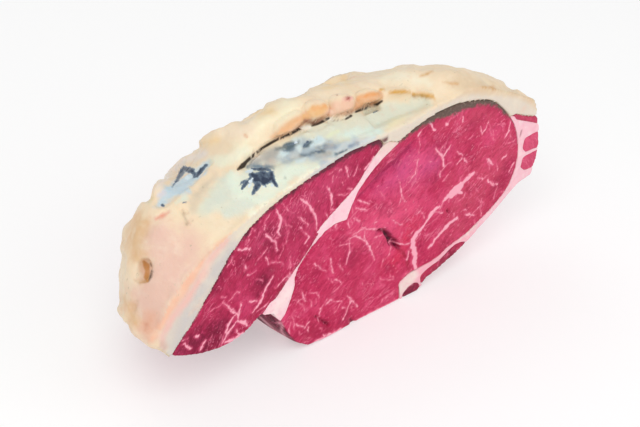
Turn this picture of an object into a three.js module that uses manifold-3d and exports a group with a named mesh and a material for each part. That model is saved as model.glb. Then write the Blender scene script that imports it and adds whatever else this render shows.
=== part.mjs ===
// A raw boneless beef rump, cut across the grain. Millimetres, +Z up.
// The cut face looks along -Y and shows every layer. The layers run back through the joint
// to a second cut at the far side, so each one is an outline of the cut face carried along Y.
// Outlines are [across, up] from the cut face's lower edge, before the whole is centred.

import * as THREE from 'three';
import { mergeVertices } from 'three/addons/utils/BufferGeometryUtils.js';
import Module from 'manifold-3d';

// Driving dimensions
const faceHeight = 138;        // from the table to the top of the lean at the cut face
const leftReach = 120;         // from the seam's foot to the fat end
const rightReach = 218;        // from the seam's foot to the flap end
const jointDepth = 108;        // from cut to cut
const stations = 9;            // steps along the depth
const layerGap = 0.3;          // kept between neighbours
const sharpestTip = 0.25;      // keeps a grown tip from running far out
const overshoot = 1;           // how far a layer runs past both cuts before it is trimmed
const sameVertex = 1e-4;       // vertices nearer than this are one

// The crown of the fat: how high it rises behind the cut face, and how far back it is level again
const crown = [
  { across: -120, rise: 44, run: 72 },
  { across: -98, rise: 54, run: 76 },
  { across: -80, rise: 40, run: 78 },
  { across: -60, rise: 23, run: 72 },
  { across: -20, rise: 23, run: 75 },
  { across: 18, rise: 20, run: 72 },
  { across: 60, rise: 14, run: 69 },
  { across: 100, rise: 9, run: 60 },
  { across: 134, rise: 6, run: 44 },
  { across: 180, rise: 7, run: 44 },
  { across: 213, rise: 5, run: 50 },
];

// The fat end bulges behind the cut face and then draws in
const endDraw = [
  { back: 0, out: 0 },
  { back: 22, out: 5 },
  { back: 40, out: 2 },
  { back: 60, out: -8 },
  { back: 82, out: -26 },
  { back: 108, out: -44 },
];
const flapTaper = 18;          // the flap end draws in by this much at the far cut
const endSag = 26;             // the overhanging fat end droops by this much at the far cut
const endTuck = 10;            // and its foot tucks in by this much
const droopTop = 90;           // above this height it neither droops nor tucks in
const droopEase = 0.75;        // below 1, so that it droops soon behind the cut
const crownPower = 1.5;        // low layers rise less than the top does
const drawPower = 1.5;         // the middle draws in less than the ends do
const drawStart = 40;          // the left end's draw fades out here
const taperStart = 60;         // and the flap's taper starts here
const overhangStart = -20;     // the fat end hangs free to the left of here
const overhangBlend = 55;

// The upper flap of fat, left where the rest of the cover was cut away
const lipHeight = 8;
const lipSpread = 5;
const lip = [
  { across: -60, back: 64 },
  { across: -38, back: 54 },
  { across: -18, back: 31 },
  { across: 20, back: 25 },
  { across: 88, back: 24 },
  { across: 112, back: 13 },
  { across: 135, back: 0 },
];
const lipStart = -60;
const lipEnd = 175;
const lipFadeIn = 35;
const lipFadeOut = 30;
const lipFoot = 0.6;           // of the face's height, where the step starts to show
const lipFull = 0.85;          // and where it has its whole height

// The hole in the fat end
const hole = { across: -113, back: 22, up: 100, long: 5.5, high: 8, deep: 11 };
const holeSides = 12;          // facets round it
const holeRows = 8;            // and from top to bottom

const wasm = await Module();
wasm.setup();

// Value of one column of a table at a place along its first column, eased between rows
function along(table, key, column, place) {
  if (place <= table[0][key]) return table[0][column];
  for (let i = 1; i < table.length; i += 1) {
    const low = table[i - 1];
    const high = table[i];
    if (place > high[key]) continue;
    const share = THREE.MathUtils.smoothstep(place, low[key], high[key]);
    const straight = (place - low[key]) / (high[key] - low[key]);
    return THREE.MathUtils.lerp(low[column], high[column], (share + straight) / 2);
  }
  return table[table.length - 1][column];
}

// How the layers of the cut face are carried back: they rise under the crown, draw in at
// both ends, and droop where the fat end overhangs
function carryLayer(point) {
  const { x, z } = point;
  const y = THREE.MathUtils.clamp(point.y, 0, jointDepth);
  const rise = along(crown, 'across', 'rise', x);
  const run = along(crown, 'across', 'run', x);
  const arch = rise * Math.sin(Math.PI * Math.min(y, run) / run);
  const fall = Math.PI * rise / run * Math.max(y - run, 0);
  const share = (Math.max(z, 0) / faceHeight) ** crownPower;
  const left = THREE.MathUtils.clamp((drawStart - x) / (leftReach + drawStart), 0, 1) ** drawPower;
  const right = THREE.MathUtils.clamp((x - taperStart) / (rightReach - taperStart), 0, 1) ** drawPower;
  const overhang = THREE.MathUtils.smoothstep(overhangStart - x, 0, overhangBlend);
  const low = overhang * (y / jointDepth) ** droopEase * Math.max(1 - z / droopTop, 0);
  const drawn = along(endDraw, 'back', 'out', y) * left;
  const tapered = flapTaper * right * (y / jointDepth) ** drawPower;
  return new THREE.Vector3(
    x - drawn - tapered + endTuck * low,
    point.y,
    Math.max(z + (arch - fall) * share - endSag * low, Math.min(z, 0)),
  );
}

// The outside follows the layers, and stands up at the lip of the upper flap
function carryOutside(point) {
  const place = carryLayer(point);
  const window = THREE.MathUtils.smoothstep(point.x, lipStart, lipStart + lipFadeIn)
    * THREE.MathUtils.smoothstep(lipEnd - point.x, 0, lipFadeOut);
  const edge = along(lip, 'across', 'back', point.x);
  const step = THREE.MathUtils.smoothstep(point.y, edge - lipSpread, edge + lipSpread);
  const top = THREE.MathUtils.smoothstep(point.z, faceHeight * lipFoot, faceHeight * lipFull);
  place.z += lipHeight * window * step * top;
  return place;
}

// An outline that runs anticlockwise, whichever way its points were given
function turned(points) {
  return THREE.ShapeUtils.isClockWise(points) ? points.reverse() : points;
}

// An evenly stepped closed curve through a few points
function curveThrough(corners, count) {
  const points = corners.map(([across, up]) => new THREE.Vector3(across, up, 0));
  const curve = new THREE.CatmullRomCurve3(points, true, 'centripetal');
  const stepped = curve.getSpacedPoints(count).slice(0, count);
  return turned(stepped.map((point) => new THREE.Vector2(point.x, point.y)));
}

// A straight-sided outline through its corners
function cornered(corners) {
  return turned(corners.map(([across, up]) => new THREE.Vector2(across, up)));
}

// The same outline moved outwards by a margin, every side by the same amount
function grown(outline, margin) {
  return outline.map((point, i) => {
    const before = outline[(i + outline.length - 1) % outline.length];
    const after = outline[(i + 1) % outline.length];
    const arriving = point.clone().sub(before).normalize();
    const leaving = after.clone().sub(point).normalize();
    const spread = Math.max(1 + arriving.dot(leaving), sharpestTip);
    const out = new THREE.Vector2(arriving.y + leaving.y, -arriving.x - leaving.x);
    return point.clone().addScaledVector(out, margin / spread);
  });
}

// A closed triangle mesh as a solid that can be joined and cut
function solidOf(geometry) {
  geometry.deleteAttribute('normal');
  geometry.deleteAttribute('uv');
  const merged = mergeVertices(geometry, sameVertex);
  return new wasm.Manifold(new wasm.Mesh({
    numProp: 3,
    vertProperties: new Float32Array(merged.attributes.position.array),
    triVerts: new Uint32Array(merged.index.array),
  }));
}

// An outline of the cut face carried through the joint, and past both cuts where the
// outside trims it
function carried(outline, carry, past) {
  const shape = new THREE.Shape(outline);
  const depth = jointDepth + 2 * past;
  const geometry = new THREE.ExtrudeGeometry(shape, { depth, steps: stations, bevelEnabled: false });
  const position = geometry.attributes.position;
  for (let i = 0; i < position.count; i += 1) {
    const back = jointDepth + past - position.getZ(i);
    const place = carry(new THREE.Vector3(position.getX(i), back, position.getY(i)));
    position.setXYZ(i, place.x, place.y, place.z);
  }
  return solidOf(geometry);
}

// The outside of the whole, flat where it lies on the table
const outsideOutline = curveThrough([
  [-113, 48], [-119, 55], [-120, 66], [-113, 81], [-97, 97], [-75, 109], [-45, 120.5],
  [-10, 130], [20, 136.5], [45, 138.5], [67, 137.5], [90, 138.5], [115, 141.5], [140, 140.5],
  [160, 136.5], [180, 129], [198, 119.5], [211, 112], [213.5, 103], [214, 94], [217, 86],
  [217.5, 76], [216, 62], [211, 52], [199, 50], [187, 43.5], [172, 34.5], [158, 26],
  [147, 18.5], [123, 10.5], [105, 6], [99.5, -1], [85, -1], [50, -1], [20, -1], [4, -1],
  [-8, 5], [-17, 15], [-23, 29], [-31, 42], [-40, 46], [-48, 40.5], [-62, 35.5], [-78, 35.5],
  [-94, 39.5],
], 64).map((point) => new THREE.Vector2(point.x, Math.max(point.y, 0)));

const capOutline = curveThrough([
  [-112, 46], [-96, 61], [-80, 79], [-66, 96], [-50, 110.5], [-25, 122], [8, 129.8],
  [40, 135.2], [66, 133.3], [52, 121], [40, 107], [23, 97.5], [8, 88], [-8, 72], [-21, 61.5],
  [-36, 48.5], [-47, 38], [-62, 32], [-78, 32], [-96, 37],
], 40);

const mainOutline = curveThrough([
  [-28, 30], [-22, 35], [-14, 52], [-10, 62], [1.5, 75.5], [11, 83.5], [18, 87.5], [28, 86.5],
  [33.5, 87], [37, 97], [49, 111], [70, 124], [96, 133], [120, 137], [145, 134], [167, 126.5],
  [183, 111], [192, 97], [196, 80], [194.5, 64], [187, 49], [168, 37], [156, 30.5],
  [145, 25.5], [131, 23.4], [121, 19.8], [111, 18.8], [97, 17.5], [82, 16], [83, 5], [82, -6],
  [40, -6], [2, -6], [-13, 4], [-24, 18],
], 60);

const sliverOutline = curveThrough([
  [101.5, 11], [111, 15.2], [121.5, 17], [131, 20.8], [139, 22.6], [148.5, 19.5], [140, 10],
  [122, 4], [105, 1],
], 18);

const tagOutline = curveThrough([
  [85, 3.5], [94, 8.5], [99.5, 7.5], [102, -1], [94, -5], [85.5, -4],
], 9);

const upperEndOutline = curveThrough([
  [202, 85], [212, 86], [224, 85], [224, 73], [210, 73], [201, 73.5], [200, 79],
], 9);

const lowerEndOutline = curveThrough([
  [201, 70], [210, 70.5], [224, 70], [224, 57], [210, 57.5], [201, 58.5], [199.5, 64],
], 9);

const stripOutline = curveThrough([
  [188, 109.5], [197, 105], [207, 100.5], [222, 96], [220, 91], [206, 97], [196, 101.5],
  [190, 105],
], 12);

// Where each band of fat lies between the layers of lean, straight from corner to corner
const seamRegion = cornered([
  [66, 130.5], [78, 126.5], [60, 108], [40, 88], [25, 72], [2, 60], [-8, 44], [-17, 26],
  [-44, 34], [-45, 54], [-22, 72], [4, 95], [36, 118],
]);

const lowerRegion = cornered([
  [78, 20], [76, -6], [150, -6], [158, 21], [158, 36], [110, 36],
]);

const endRegion = cornered([
  [185, 108], [190, 106.5], [206, 98.5], [226, 88], [230, 44], [190, 32], [152, 18],
  [152, 36], [180, 56],
]);

const outside = carried(outsideOutline, carryOutside, 0);

// A layer, and the room that its neighbours leave for it
function layerOf(outline) {
  return {
    solid: outside.intersect(carried(outline, carryLayer, overshoot)),
    room: carried(grown(outline, layerGap), carryLayer, overshoot),
  };
}

// What a solid keeps beside its neighbours
function less(solid, neighbours) {
  return neighbours.reduce((left, layer) => left.subtract(layer.room), solid);
}

const cap = layerOf(capOutline);
const main = layerOf(mainOutline);
const sliver = layerOf(sliverOutline);
const tag = layerOf(tagOutline);
const upperEnd = layerOf(upperEndOutline);
const lowerEnd = layerOf(lowerEndOutline);
const strip = layerOf(stripOutline);
const seam = layerOf(seamRegion);
const lower = layerOf(lowerRegion);
const end = layerOf(endRegion);
const seamFat = less(seam.solid, [cap, main]);
const lowerFat = less(lower.solid, [main, sliver, tag]);
const endFat = less(end.solid, [main, upperEnd, lowerEnd, strip, lower]);

// The cover is the outside less every layer and band, with the hole in its end
function fatCover() {
  const left = less(outside, [cap, main, sliver, tag, strip, seam, lower, end]);
  const ball = new THREE.SphereGeometry(1, holeSides, holeRows);
  ball.scale(hole.deep, hole.long, hole.high);
  ball.translate(hole.across, hole.back, hole.up);
  return left.subtract(solidOf(ball));
}

// A named mesh of a finished solid
function layerMesh(name, solid, color, roughness) {
  const { vertProperties, triVerts } = solid.getMesh();
  const geometry = new THREE.BufferGeometry();
  geometry.setAttribute('position', new THREE.BufferAttribute(vertProperties, 3));
  geometry.setIndex(new THREE.BufferAttribute(triVerts, 1));
  geometry.computeVertexNormals();
  const material = new THREE.MeshStandardMaterial({ color, roughness, metalness: 0 });
  const mesh = new THREE.Mesh(geometry, material);
  mesh.name = name;
  return mesh;
}

const rump = new THREE.Group();
rump.add(
  layerMesh('fat_cover', fatCover(), 0xeed9bc, 0.5),
  layerMesh('cap_muscle', cap.solid, 0xa52a50, 0.4),
  layerMesh('main_muscle', main.solid, 0xb82b55, 0.4),
  layerMesh('seam_fat', seamFat, 0xf8cdd5, 0.45),
  layerMesh('lower_fat', lowerFat, 0xf0dcd8, 0.45),
  layerMesh('sliver_muscle', sliver.solid, 0x9e2a48, 0.4),
  layerMesh('lean_tag', tag.solid, 0x7e2036, 0.4),
  layerMesh('end_fat', endFat, 0xf2c4c6, 0.45),
  layerMesh('end_lean_upper', upperEnd.solid, 0xcf4a6c, 0.4),
  layerMesh('end_lean_lower', lowerEnd.solid, 0xcf4a6c, 0.4),
  layerMesh('end_lean_strip', strip.solid, 0xc24460, 0.4),
);

// The origin is under the middle of the joint, at the table
const box = new THREE.Box3().setFromObject(rump);
const middle = box.getCenter(new THREE.Vector3());
rump.position.set(-middle.x, -middle.y, -box.min.z);

export default rump;
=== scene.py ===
# Raw beef rump: its looks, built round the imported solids. Blender works in metres; the sizes
# below are in millimetres across, back and up from the foot of the seam at the cut face.
import math
import random
import bmesh
import bpy
import numpy as np
from mathutils import Matrix, Vector, noise
from mathutils.bvhtree import BVHTree


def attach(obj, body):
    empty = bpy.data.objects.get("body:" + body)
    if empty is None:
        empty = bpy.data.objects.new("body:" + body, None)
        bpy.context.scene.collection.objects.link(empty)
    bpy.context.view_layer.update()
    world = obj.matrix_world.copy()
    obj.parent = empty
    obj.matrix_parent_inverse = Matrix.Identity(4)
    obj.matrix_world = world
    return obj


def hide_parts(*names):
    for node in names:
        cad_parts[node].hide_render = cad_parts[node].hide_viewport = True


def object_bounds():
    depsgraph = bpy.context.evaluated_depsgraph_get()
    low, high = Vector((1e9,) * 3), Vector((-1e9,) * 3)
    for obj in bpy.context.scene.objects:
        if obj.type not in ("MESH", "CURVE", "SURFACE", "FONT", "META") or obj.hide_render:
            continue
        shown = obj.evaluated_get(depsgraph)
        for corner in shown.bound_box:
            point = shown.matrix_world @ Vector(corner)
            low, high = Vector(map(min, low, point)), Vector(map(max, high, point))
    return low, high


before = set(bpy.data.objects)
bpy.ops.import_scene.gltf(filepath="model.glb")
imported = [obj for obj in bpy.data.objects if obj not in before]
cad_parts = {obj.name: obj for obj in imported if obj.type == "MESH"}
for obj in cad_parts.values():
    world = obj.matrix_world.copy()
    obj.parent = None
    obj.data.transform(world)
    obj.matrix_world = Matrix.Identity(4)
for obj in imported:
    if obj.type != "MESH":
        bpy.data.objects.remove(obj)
cadLow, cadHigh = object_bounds()

mm = 0.001
seamFoot = 123.6                      # from the fat end to the foot of the seam
corner = Vector((cadLow.x + seamFoot * mm, cadLow.y, 0.0))
depth = (cadHigh.y - cadLow.y) / mm   # from cut to cut
farAway = 99.0                        # a distance that counts as far outside any mark
tiny = 1e-9
sameSpot = 1e-6                       # vertices nearer than this, in metres, are one

# The camera, fitted to the photo: angles in degrees, lens, sensor and distance in millimetres
viewing = {"azimuth": -40.9, "elevation": 32.0, "lens": 85.0, "sensor": 36, "distance": 1012,
           "footPixel": (310, 346), "clipStart": 0.01}
photoSize = (640, 427)
focal = viewing["lens"] / viewing["sensor"] * photoSize[0]
turn, tilt = math.radians(viewing["azimuth"]), math.radians(viewing["elevation"])
away = Vector((math.sin(turn) * math.cos(tilt), -math.cos(turn) * math.cos(tilt), math.sin(tilt)))
right = Vector((math.cos(turn), math.sin(turn), 0))
above = away.cross(right)


def sightLine(pixel):  # the way the camera looks through a pixel of the photo
    x, y = pixel
    return right * ((x - photoSize[0] / 2) / focal) + above * ((photoSize[1] / 2 - y) / focal) - away


eye = corner - sightLine(viewing["footPixel"]) * viewing["distance"] * mm


def underPixel(pixel, tree):  # the spot of a surface that shows at a pixel, or the nearest to it
    ray = sightLine(pixel)
    hit = tree.ray_cast(eye, ray.normalized())[0]
    return hit or tree.find_nearest(eye + ray * viewing["distance"] * mm)[0]


def pixelsOf(points):
    gap = points * mm + np.array(corner) - np.array(eye)
    reach = -gap @ np.array(away)
    return np.stack([photoSize[0] / 2 + focal * (gap @ np.array(right)) / reach,
                     photoSize[1] / 2 - focal * (gap @ np.array(above)) / reach], 1)


def facingCamera(mesh, least=0.0):
    return readNormals(mesh) @ np.array(away) > least


def tone(code):  # a colour as an artist writes it, made linear
    parts = [int(code[i:i + 2], 16) / 255 for i in (0, 2, 4)]
    return [part / 12.92 if part <= 0.04045 else ((part + 0.055) / 1.055) ** 2.4 for part in parts]


def ease(values, start, end):
    share = np.clip((values - start) / (end - start), 0, 1)
    return share * share * (3 - 2 * share)


def near(distances, reach, full=0):  # 1 up to the full distance, down to 0 at the reach
    return ease(-distances, -reach, -full)


def readArray(mesh, key):
    flat = np.empty(len(mesh.vertices) * 3, np.float32)
    mesh.vertices.foreach_get(key, flat)
    return flat.reshape(-1, 3).astype(float)


def readPoints(mesh):
    return (readArray(mesh, "co") - np.array(corner)) / mm


def readNormals(mesh):
    return readArray(mesh, "normal")


def writePoints(mesh, points):
    flat = (points * mm + np.array(corner)).astype(np.float32)
    mesh.vertices.foreach_set("co", flat.ravel())
    mesh.update()


grainKind = {"seedSteps": (17.3, 7.1, 3.7), "roughness": 0.8, "spacing": 2.1}


def grain(points, size, seed, octaves=2):  # seeded noise, about -1 to 1, with lumps of that size
    shift = Vector([seed * step for step in grainKind["seedSteps"]])
    kind = grainKind["roughness"], grainKind["spacing"], octaves
    return np.array([noise.fractal(Vector(p) / size + shift, *kind) for p in points])


def strokeField(points, strokes):  # distance to the nearest brush stroke's edge, below 0 inside it
    field = np.full(len(points), farAway)
    for stroke in strokes:
        row = np.array(stroke, float)
        if len(row) == 1:
            row = np.vstack([row, row])
        for a, b in zip(row[:-1], row[1:]):
            way = b[:-1] - a[:-1]
            share = np.clip((points - a[:-1]) @ way / max(way @ way, tiny), 0, 1)
            gap = np.linalg.norm(points - a[:-1] - share[:, None] * way, axis=1)
            field = np.minimum(field, gap - a[-1] - (b[-1] - a[-1]) * share)
    return field


def store(mesh, name, values):
    attribute = mesh.attributes.new(name, "FLOAT", "POINT")
    attribute.data.foreach_set("value", np.asarray(values, np.float32))


def storeTint(mesh, colours, name="tint"):
    attribute = mesh.attributes.new(name, "FLOAT_COLOR", "POINT")
    full = np.ones((len(colours), 4), np.float32)
    full[:, :3] = colours
    attribute.data.foreach_set("color", full.ravel())


# A patch of colour: its soft edge, how torn that is, and its brush strokes. A stroke's step is a
# place and a half width, all in pixels of the photo or all in millimetres of the cut face.
def smudge(colour, soft, wobble, *strokes, strength=1):
    return {"colour": colour, "soft": soft, "wobble": wobble, "strokes": strokes, "strength": strength}


tornSize, tornOctaves = 7, 3   # lumps along a torn edge, in millimetres


def paint(spots, base, zones, seed, shown, solidSpots):  # patches of colour laid over each other
    colours = np.tile(np.array(tone(base)), (len(spots), 1))
    torn = grain(solidSpots, tornSize, seed, tornOctaves)
    for zone in zones:
        field = strokeField(spots, zone["strokes"]) + torn * zone["wobble"]
        share = near(field, zone["soft"], -zone["soft"]) * zone["strength"] * shown
        colours += (np.array(tone(zone["colour"])) - colours) * share[:, None]
    return colours


def mergedCopy(node, name):  # a copy of the solid, its loose triangles joined
    bm = bmesh.new()
    bm.from_mesh(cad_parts[node].data)
    bmesh.ops.remove_doubles(bm, verts=bm.verts, dist=sameSpot)
    mesh = bpy.data.meshes.new(name)
    bm.to_mesh(mesh)
    bm.free()
    piece = bpy.data.objects.new(name, mesh)
    bpy.context.scene.collection.objects.link(piece)
    return piece


def settle(piece):  # applies the modifiers
    graph = bpy.context.evaluated_depsgraph_get()
    mesh = bpy.data.meshes.new_from_object(piece.evaluated_get(graph))
    piece.modifiers.clear()
    old = piece.data
    piece.data = mesh
    bpy.data.meshes.remove(old)
    mesh.name = piece.name


sharpFill = 0.99   # the most of its grid that a sharp remesh may fill


def evenSkin(piece, cell, sharp=False):  # an even mesh of that cell size, in millimetres
    remesh = piece.modifiers.new("even skin", "REMESH")
    remesh.use_smooth_shade = True
    if not sharp:
        remesh.mode = "VOXEL"
        remesh.voxel_size = cell * mm
        return
    span = max(piece.dimensions) / mm
    remesh.mode = "SHARP"
    remesh.octree_depth = math.ceil(math.log2(span / cell / sharpFill))
    remesh.scale = span / (cell * 2 ** remesh.octree_depth)
    remesh.use_remove_disconnected = False


def relax(piece, rounds, inDepth=False, group=""):  # smooths, within each slice or in depth too
    smooth = piece.modifiers.new("relax", "SMOOTH")
    smooth.factor = 0.5
    smooth.iterations = rounds
    smooth.use_y = inDepth
    smooth.vertex_group = group


def swell(piece, amount):
    displace = piece.modifiers.new("swell", "DISPLACE")
    displace.strength = amount * mm
    displace.mid_level = 0


def surfaceOf(piece):
    graph = bpy.context.evaluated_depsgraph_get()
    return BVHTree.FromObject(piece, graph)


def distanceTo(points, *trees):  # from each point to the nearest of the surfaces, in millimetres
    places = [corner + Vector(p) * mm for p in points]
    return np.min([[tree.find_nearest(spot)[3] for spot in places] for tree in trees], axis=0) / mm


def finishPiece(piece, material, node):
    piece.data.materials.clear()
    piece.data.materials.append(material)
    piece.data.polygons.foreach_set("use_smooth", [True] * len(piece.data.polygons))
    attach(piece, "root")
    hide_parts(node)
    print(piece.name, len(piece.data.polygons), "faces")


# The gentle unevenness of the cut face, the same for every layer so that they stay flush
cutFace = {"size": 46, "height": 0.9, "fineSize": 9, "fineHeight": 0.18, "seed": 3, "fadeDepth": 12}


def cutRelief(points):
    flat = points * np.array([1, 0, 1])
    wide = grain(flat, cutFace["size"], cutFace["seed"])
    fine = grain(flat, cutFace["fineSize"], cutFace["seed"] + 1)
    return wide * cutFace["height"] + fine * cutFace["fineHeight"]


def nearCut(points):  # 1 at the near cut, down to 0 behind it
    return near(points[:, 1], cutFace["fadeDepth"])


def onCut(points, reach):  # 1 on the near cut, -1 on the far cut, else 0
    return np.where(points[:, 1] < reach, 1.0, np.where(points[:, 1] > depth - reach, -1.0, 0.0))


# What the materials are built from
def newMaterial(name, inputs):
    material = bpy.data.materials.new(name)
    material.use_nodes = True
    tree = material.node_tree
    shader = tree.nodes["Principled BSDF"]
    for key, value in inputs.items():
        shader.inputs[key].default_value = value
    return material, tree, shader


def addNode(tree, kind, **settings):
    node = tree.nodes.new(kind)
    for key, value in settings.items():
        setattr(node, key, value)
    return node


def objectSpots(tree):
    return addNode(tree, "ShaderNodeTexCoord").outputs["Object"]


def attributeOf(tree, name, output="Fac"):
    return addNode(tree, "ShaderNodeAttribute", attribute_name=name).outputs[output]


def noiseOf(tree, where, scale, detail=3.0, roughness=0.55, distortion=0.0):
    node = addNode(tree, "ShaderNodeTexNoise")
    node.inputs["Distortion"].default_value = distortion
    node.inputs["Scale"].default_value = scale
    node.inputs["Detail"].default_value = detail
    node.inputs["Roughness"].default_value = roughness
    tree.links.new(where, node.inputs["Vector"])
    return node.outputs["Fac"]


def stretched(tree, where, turned, size):  # coordinates in which a pattern runs along the fibres
    node = addNode(tree, "ShaderNodeMapping", vector_type="TEXTURE")
    node.inputs["Rotation"].default_value = (0, turned, 0)
    node.inputs["Scale"].default_value = size
    tree.links.new(where, node.inputs["Vector"])
    return node.outputs["Vector"]


def sums(tree, operation, first, second):
    node = addNode(tree, "ShaderNodeMath", operation=operation)
    for socket, value in zip(node.inputs, (first, second)):
        if isinstance(value, (int, float)):
            socket.default_value = value
        else:
            tree.links.new(value, socket)
    return node.outputs[0]


def fade(tree, value, low, high, start=0.0, end=1.0):
    node = addNode(tree, "ShaderNodeMapRange", interpolation_type="SMOOTHSTEP")
    tree.links.new(value, node.inputs["Value"])
    for name, number in (("From Min", low), ("From Max", high), ("To Min", start), ("To Max", end)):
        node.inputs[name].default_value = number
    return node.outputs["Result"]


def blendColour(tree, share, under, over):
    node = addNode(tree, "ShaderNodeMix", data_type="RGBA")
    tree.links.new(share, node.inputs[0])
    for socket, value in ((node.inputs[6], under), (node.inputs[7], over)):
        if isinstance(value, str):
            socket.default_value = (*tone(value), 1)
        else:
            tree.links.new(value, socket)
    return node.outputs[2]


def laid(tree, pattern, limits, under, over):  # a colour over another, as a pattern goes from low to high
    return blendColour(tree, fade(tree, pattern, *limits), under, over)


def tornBy(tree, torn, size, name, middle=0):  # a stored field of distances, its edge torn by a noise
    torn = sums(tree, "MULTIPLY", sums(tree, "SUBTRACT", torn, middle), size)
    return sums(tree, "ADD", attributeOf(tree, name), torn)


glossLimits = 0.3, 0.7   # of the noise, from which to which the roughness rises


def wetFinish(tree, shader, where, colour, height, look):  # uneven gloss over a fine bump
    tree.links.new(colour, shader.inputs["Base Color"])
    gloss = noiseOf(tree, where, look["glossScale"])
    tree.links.new(fade(tree, gloss, *glossLimits, *look["roughness"]), shader.inputs["Roughness"])
    node = addNode(tree, "ShaderNodeBump")
    node.inputs["Strength"].default_value = look["bump"]
    node.inputs["Distance"].default_value = look["bumpDepth"]
    tree.links.new(height, node.inputs["Height"])
    tree.links.new(node.outputs["Normal"], shader.inputs["Normal"])


# Colours, then noises (scale, detail, roughness) and the limits between which a colour comes in
fatLook = {
    "mottle": "f3e6cc", "mottleNoise": (95, 4), "mottleFade": (0.45, 0.75, 0, 0.3),
    "rosy": "e9b79c", "rosyNoise": (60, 5, 0.6), "rosyFade": (0.56, 0.74, 0, 0.3),
    "tornNoise": (240, 5, 0.75), "tornSize": 7,
    "navy": "263249", "navyPale": "68798a", "navyNoise": (260, 4), "streakFade": (0.45, 0.75, 0, 0.8),
    "marginFade": (1.2, 3.4), "navyFade": (3.0, 4.2, 1, 0),
    "pale": "d3e0e6", "paleFade": (2.9, 4.2, 1, 0),
    "gold": "c98d4c", "goldFade": (-1, 1.5, 0.9, 0),
    "grit": "b5ab8e", "gritNoise": (330, 3, 0.6), "gritFade": (0.63, 0.7, 0, 0.5),
    "gritWhere": (50, 2), "gritWhereFade": (0.5, 0.62),
    # painted shadow: the dark line in the slit under the flap
    "slitShadow": "2e2015", "slitShadowFade": (0, 1.5, 0.97, 0),
    "glossScale": 120, "roughness": (0.36, 0.55), "bump": 0.35, "bumpDepth": 0.0008,
    "waxNoise": (180, 4), "fineWaxNoise": (700, 2),
    "shader": {"Subsurface Weight": 0.12, "Subsurface Radius": (1.0, 0.55, 0.35), "Subsurface Scale": 0.003,
               "Specular IOR Level": 0.3, "Coat Weight": 0.08, "Coat Roughness": 0.25},
}


def fatMaterial():
    look = fatLook
    material, tree, shader = newMaterial("beefFat", look["shader"])
    where = objectSpots(tree)
    colour = attributeOf(tree, "tint", "Color")
    for key in ("mottle", "rosy"):
        colour = laid(tree, noiseOf(tree, where, *look[key + "Noise"]), look[key + "Fade"], colour, look[key])
    torn = noiseOf(tree, where, *look["tornNoise"])
    navyField = tornBy(tree, torn, look["tornSize"], "navy")
    streaks = noiseOf(tree, where, *look["navyNoise"])
    navy = laid(tree, streaks, look["streakFade"], look["navy"], look["navyPale"])
    navy = laid(tree, navyField, look["marginFade"], navy, look["navyPale"])
    colour = laid(tree, navyField, look["navyFade"], colour, navy)
    paleField = tornBy(tree, torn, look["tornSize"], "pale")
    colour = laid(tree, paleField, look["paleFade"], colour, look["pale"])
    colour = laid(tree, attributeOf(tree, "gold"), look["goldFade"], colour, look["gold"])
    grit = fade(tree, noiseOf(tree, where, *look["gritNoise"]), *look["gritFade"])
    gritty = fade(tree, noiseOf(tree, where, *look["gritWhere"]), *look["gritWhereFade"])
    colour = blendColour(tree, sums(tree, "MULTIPLY", grit, gritty), colour, look["grit"])
    # painted shadow along the slit under the flap
    colour = laid(tree, attributeOf(tree, "slitShadow"), look["slitShadowFade"], colour, look["slitShadow"])
    waxy = (noiseOf(tree, where, *look[key]) for key in ("waxNoise", "fineWaxNoise"))
    wetFinish(tree, shader, where, colour, sums(tree, "ADD", *waxy), look)
    return material


leanLook = {
    "stretch": (2.6, 1.5, 1.0),
    "broadNoise": (42, 5, 0.6), "broadDark": (0.5, 0.32, 0, 0.5), "broadPale": (0.5, 0.7, 0, 0.5),
    "fineNoise": (430, 5, 0.72, 1.2), "fineDark": (0.5, 0.3, 0, 0.6), "finePale": (0.5, 0.7, 0, 0.6),
    "web": "e2708f", "strandNoise": (130, 3, 0.6, 0.8), "webFade": (0.004, 0.022, 1, 0),
    "webWhere": (48, 2), "webWhereFade": (0.46, 0.62, 0, 0.75),
    "speckle": "e889a2", "speckNoise": (800, 2, 0.5), "speckFade": (0.64, 0.76, 0, 0.6),
    "fat": "f3a9ba", "fatRim": "dd5c80", "veinNoise": (380, 5, 0.7), "veinSize": 2.6,
    "rimFade": (0.8, 2.8, 0.8, 0), "fatFade": (0.6, 1.7, 1, 0),
    "edgeDarkNoise": (240, 6, 0.75), "edgeDarkSize": 11, "edgeDarkFade": (-2.0, 1.4, 0.94, 0),
    "edgePaleNoise": (520, 4, 0.7), "edgePaleFade": (0.5, 0.72, 0, 0.6),
    "glossScale": 140, "bump": 0.25, "bumpDepth": 0.0006,
    "shader": {"Specular IOR Level": 0.14, "Subsurface Weight": 0.06, "Subsurface Radius": (1.0, 0.25, 0.2),
               "Subsurface Scale": 0.002},
}
leanTones = {   # darker and paler strands, the turn of the fibres in degrees, roughness
    "capLean": {"dark": "72042c", "pale": "d2406e", "turn": -52, "roughness": (0.34, 0.5)},
    "mainLean": {"dark": "90083a", "pale": "e2507e", "turn": -30, "roughness": (0.36, 0.52)},
    "darkLean": {"dark": "5c0a24", "pale": "c43c5c", "turn": -30, "roughness": (0.36, 0.52)},
    "endLean": {"dark": "a02448", "pale": "e26084", "turn": 60, "roughness": (0.38, 0.54)},
}


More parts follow.
